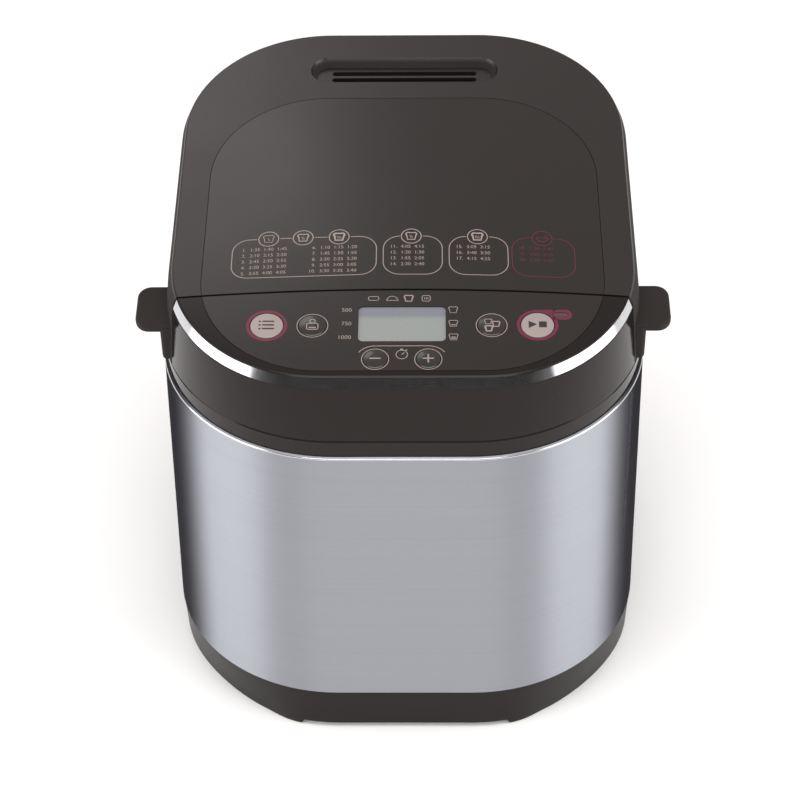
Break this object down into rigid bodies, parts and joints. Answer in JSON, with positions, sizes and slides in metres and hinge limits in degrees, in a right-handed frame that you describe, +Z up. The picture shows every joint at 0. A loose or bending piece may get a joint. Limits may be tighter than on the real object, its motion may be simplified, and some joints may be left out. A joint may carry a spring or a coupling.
{
  "type": "bread machine",
  "caption": "Bread machine with a round-cornered brushed steel jacket, dark moulded head, sloping key panel, hinged vented lid, lift-out pan with bail, paddle and belt drive.",
  "frame": {"origin": "middle of the footprint, on the surface that the feet stand on", "axes": "+Z up, the control panel faces -Y, +X to the right of someone who faces the panel"},
  "size_m": [0.2708, 0.2728, 0.282],
  "materials": {
    "brushed_jacket": "horizontally brushed",
    "black_plastic": "satin",
    "gloss_sheet": "high gloss",
    "rubber": "matt",
    "display": "clear",
    "display_glass": "satin",
    "light_guide": "clear",
    "cream_key": "satin",
    "dark_key": "gloss",
    "circuit_board": "satin",
    "component": "satin",
    "pressed_steel": "plain",
    "liner": "satin",
    "ceramic": "matt",
    "element_steel": "heat darkened",
    "steel": "turned",
    "pan_coating": "non-stick coated",
    "cast_metal": "cast",
    "bronze": "plain",
    "pulley_plastic": "satin",
    "motor": "plain"
  },
  "bodies": {
    "machine": {"steel_jacket": "brushed_jacket", "base_tray": "black_plastic", "top_collar": "black_plastic", "control_housing": "black_plastic", "hinge_block": "black_plastic", "panel_overlay": "gloss_sheet", "rubber_feet": "rubber", "cord_gland": "rubber", "drive_belt": "rubber", "display_window": "display", "display_module": "display_glass", "status_light": "light_guide", "control_board": "circuit_board", "power_board": "circuit_board", "key_switches": "component", "power_components": "component", "chassis_plate": "pressed_steel", "baking_chamber": "pressed_steel", "chamber_standoffs": "pressed_steel", "element_clips": "pressed_steel", "pan_clips": "pressed_steel", "motor_bracket": "pressed_steel", "element_bushes": "ceramic", "heating_element": "element_steel", "hinge_pins": "steel", "chamber_screws": "steel", "floor_screws": "steel", "motor_screws": "steel", "chassis_screws": "steel", "temperature_probe": "steel", "drive_bearing": "cast_metal", "drive_motor": "motor"},
    "lid": {"lid_shell": "black_plastic", "lid_panel": "gloss_sheet", "vent_grille": "black_plastic", "lid_liner": "liner", "lid_screws": "steel"},
    "pan": {"bread_pan": "pan_coating", "pan_foot": "cast_metal", "pan_bush": "bronze", "pan_seal": "rubber"},
    "bail": {"pan_handle": "steel"},
    "pan_drive": {"pan_shaft": "steel", "pan_wing": "cast_metal", "pan_washer": "steel"},
    "paddle": {"kneading_paddle": "pan_coating"},
    "drive": {"driven_pulley": "pulley_plastic", "drive_shaft": "steel", "pulley_nut": "steel", "drive_dog": "cast_metal"},
    "rotor": {"motor_shaft": "steel", "motor_pulley": "cast_metal", "motor_fan": "component"},
    "menu_key": {"menu_button": "cream_key"},
    "weight_key": {"weight_button": "dark_key"},
    "minus_key": {"minus_button": "dark_key"},
    "plus_key": {"plus_button": "dark_key"},
    "crust_key": {"crust_button": "dark_key"},
    "start_key": {"start_button": "cream_key"}
  },
  "joints": [
    {"name": "lid_hinge", "type": "hinge", "parent": "machine", "child": "lid", "pos_m": [0, 0.123, 0.2259], "axis": [-1, 0, 0], "range_deg": [0, 85]},
    {"name": "pan_lift", "type": "slide", "parent": "machine", "child": "pan", "axis": [0, 0, 1], "range_m": [0, 0.02]},
    {"name": "bail_swing", "type": "hinge", "parent": "pan", "child": "bail", "pos_m": [0, 0.024, 0.198], "axis": [1, 0, 0], "range_deg": [0, 30]},
    {"name": "drive_spin", "type": "hinge", "parent": "machine", "child": "drive", "pos_m": [0, 0.024, 0.05], "axis": [0, 0, 1], "continuous": true, "deforming": ["drive_belt"]},
    {"name": "rotor_spin", "type": "hinge", "parent": "machine", "child": "rotor", "pos_m": [0, -0.09744, 0.05], "axis": [0, 0, 1], "continuous": true},
    {"name": "pan_shaft_spin", "type": "hinge", "parent": "pan", "child": "pan_drive", "pos_m": [0, 0.024, 0.09], "axis": [0, 0, 1], "continuous": true},
    {"name": "paddle_pull", "type": "slide", "parent": "pan_drive", "child": "paddle", "axis": [0, 0, 1], "range_m": [0, 0.03]},
    {"name": "menu_press", "type": "slide", "parent": "machine", "child": "menu_key", "axis": [0, 0.1411, -0.99], "range_m": [0, 0.0008], "stiffness_N_per_m": 400},
    {"name": "weight_press", "type": "slide", "parent": "machine", "child": "weight_key", "axis": [0, 0.1411, -0.99], "range_m": [0, 0.0008], "stiffness_N_per_m": 400},
    {"name": "minus_press", "type": "slide", "parent": "machine", "child": "minus_key", "axis": [0, 0.1411, -0.99], "range_m": [0, 0.0008], "stiffness_N_per_m": 400},
    {"name": "plus_press", "type": "slide", "parent": "machine", "child": "plus_key", "axis": [0, 0.1411, -0.99], "range_m": [0, 0.0008], "stiffness_N_per_m": 400},
    {"name": "crust_press", "type": "slide", "parent": "machine", "child": "crust_key", "axis": [0, 0.1411, -0.99], "range_m": [0, 0.0008], "stiffness_N_per_m": 400},
    {"name": "start_press", "type": "slide", "parent": "machine", "child": "start_key", "axis": [0, 0.1411, -0.99], "range_m": [0, 0.0008], "stiffness_N_per_m": 400}
  ],
  "couplings": [
    {"joint": "rotor_spin", "follows": "drive_spin", "ratio": 5},
    {"joint": "pan_shaft_spin", "follows": "drive_spin", "ratio": 1}
  ]
}
